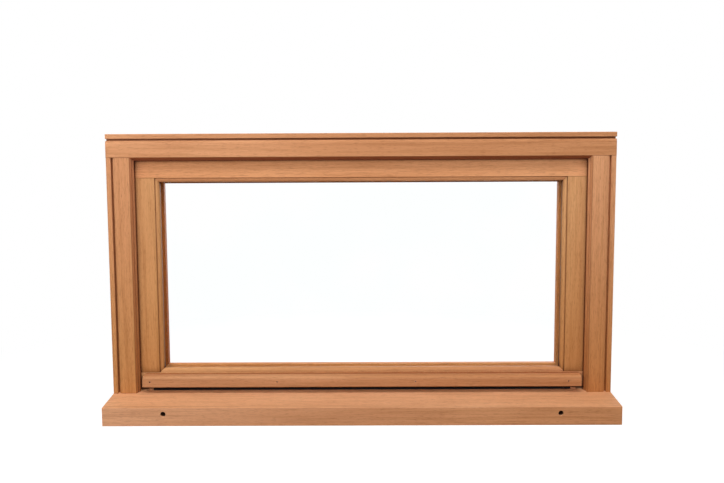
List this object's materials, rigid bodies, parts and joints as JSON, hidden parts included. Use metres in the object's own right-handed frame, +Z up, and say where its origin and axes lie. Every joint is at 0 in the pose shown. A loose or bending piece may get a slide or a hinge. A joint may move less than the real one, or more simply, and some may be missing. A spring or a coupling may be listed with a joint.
{
  "type": "hopper window",
  "caption": "Hardwood hopper window: frame with weathered sill and a bottom-hung glazed sash that tilts inwards on butt hinges, held by quadrant stays and a slide bolt.",
  "frame": {"origin": "middle of the sill's underside, in the plane of the frame's outer face", "axes": "+X along the window to the right as seen from outside, +Y from the outer face into the room, +Z up"},
  "size_m": [0.915, 0.2481, 0.515],
  "materials": {
    "frame_hardwood": "bare planed hardwood, pinkish tan, fine straight grain",
    "sill_hardwood": "bare planed hardwood, pinkish brown",
    "sash_hardwood": "bare planed hardwood, yellower tan on the stiles",
    "bead_hardwood": "bare planed hardwood",
    "bar_hardwood": "bare planed hardwood",
    "wedge_hardwood": "end grain",
    "seal_rubber": "matt black",
    "sealant": "matt black",
    "spacer_plastic": "matt dark",
    "block_plastic": "matt dark",
    "clear_glass": "clear float glass",
    "brass": "satin brass",
    "pin_steel": "dull steel"
  },
  "bodies": {
    "frame": {"head": "frame_hardwood", "jamb_left": "frame_hardwood", "jamb_right": "frame_hardwood", "sill": "sill_hardwood", "frame_wedges": "wedge_hardwood", "head_seal": "seal_rubber", "jamb_seal_left": "seal_rubber", "jamb_seal_right": "seal_rubber", "sill_seal": "seal_rubber", "closing_packers": "sill_hardwood", "hinge_left_sill_leaf": "brass", "hinge_right_sill_leaf": "brass", "hinge_left_pin": "brass", "hinge_right_pin": "brass", "hinge_screws_sill": "brass", "stay_quadrant_left": "brass", "stay_quadrant_right": "brass", "stay_stops": "brass", "stay_screws": "brass", "catch_keep": "brass", "keep_screws": "brass"},
    "sash": {"sash_top_rail": "sash_hardwood", "sash_bottom_rail": "sash_hardwood", "sash_stile_left": "sash_hardwood", "sash_stile_right": "sash_hardwood", "sash_wedges": "wedge_hardwood", "weather_bar": "bar_hardwood", "weather_bar_pins": "pin_steel", "outer_pane": "clear_glass", "inner_pane": "clear_glass", "glazing_tape": "seal_rubber", "edge_sealant": "sealant", "spacer_bar": "spacer_plastic", "setting_blocks": "block_plastic", "glazing_bead_top": "bead_hardwood", "glazing_bead_bottom": "bead_hardwood", "glazing_bead_left": "bead_hardwood", "glazing_bead_right": "bead_hardwood", "bead_pins": "pin_steel", "hinge_left_sash_leaf": "brass", "hinge_right_sash_leaf": "brass", "hinge_screws_sash": "brass", "stay_guide_left": "brass", "stay_guide_right": "brass", "guide_screws": "brass", "catch_case": "brass", "catch_screws": "brass"},
    "catch": {"catch_bolt": "brass", "catch_knob": "brass"}
  },
  "joints": [
    {"name": "sash_tilt", "type": "hinge", "parent": "frame", "child": "sash", "pos_m": [0, 0.0635, 0.0449], "axis": [-1, 0, 0], "range_deg": [0, 30]},
    {"name": "catch_slide", "type": "slide", "parent": "sash", "child": "catch", "axis": [0, 0, 1], "range_m": [0, 0.016]}
  ]
}
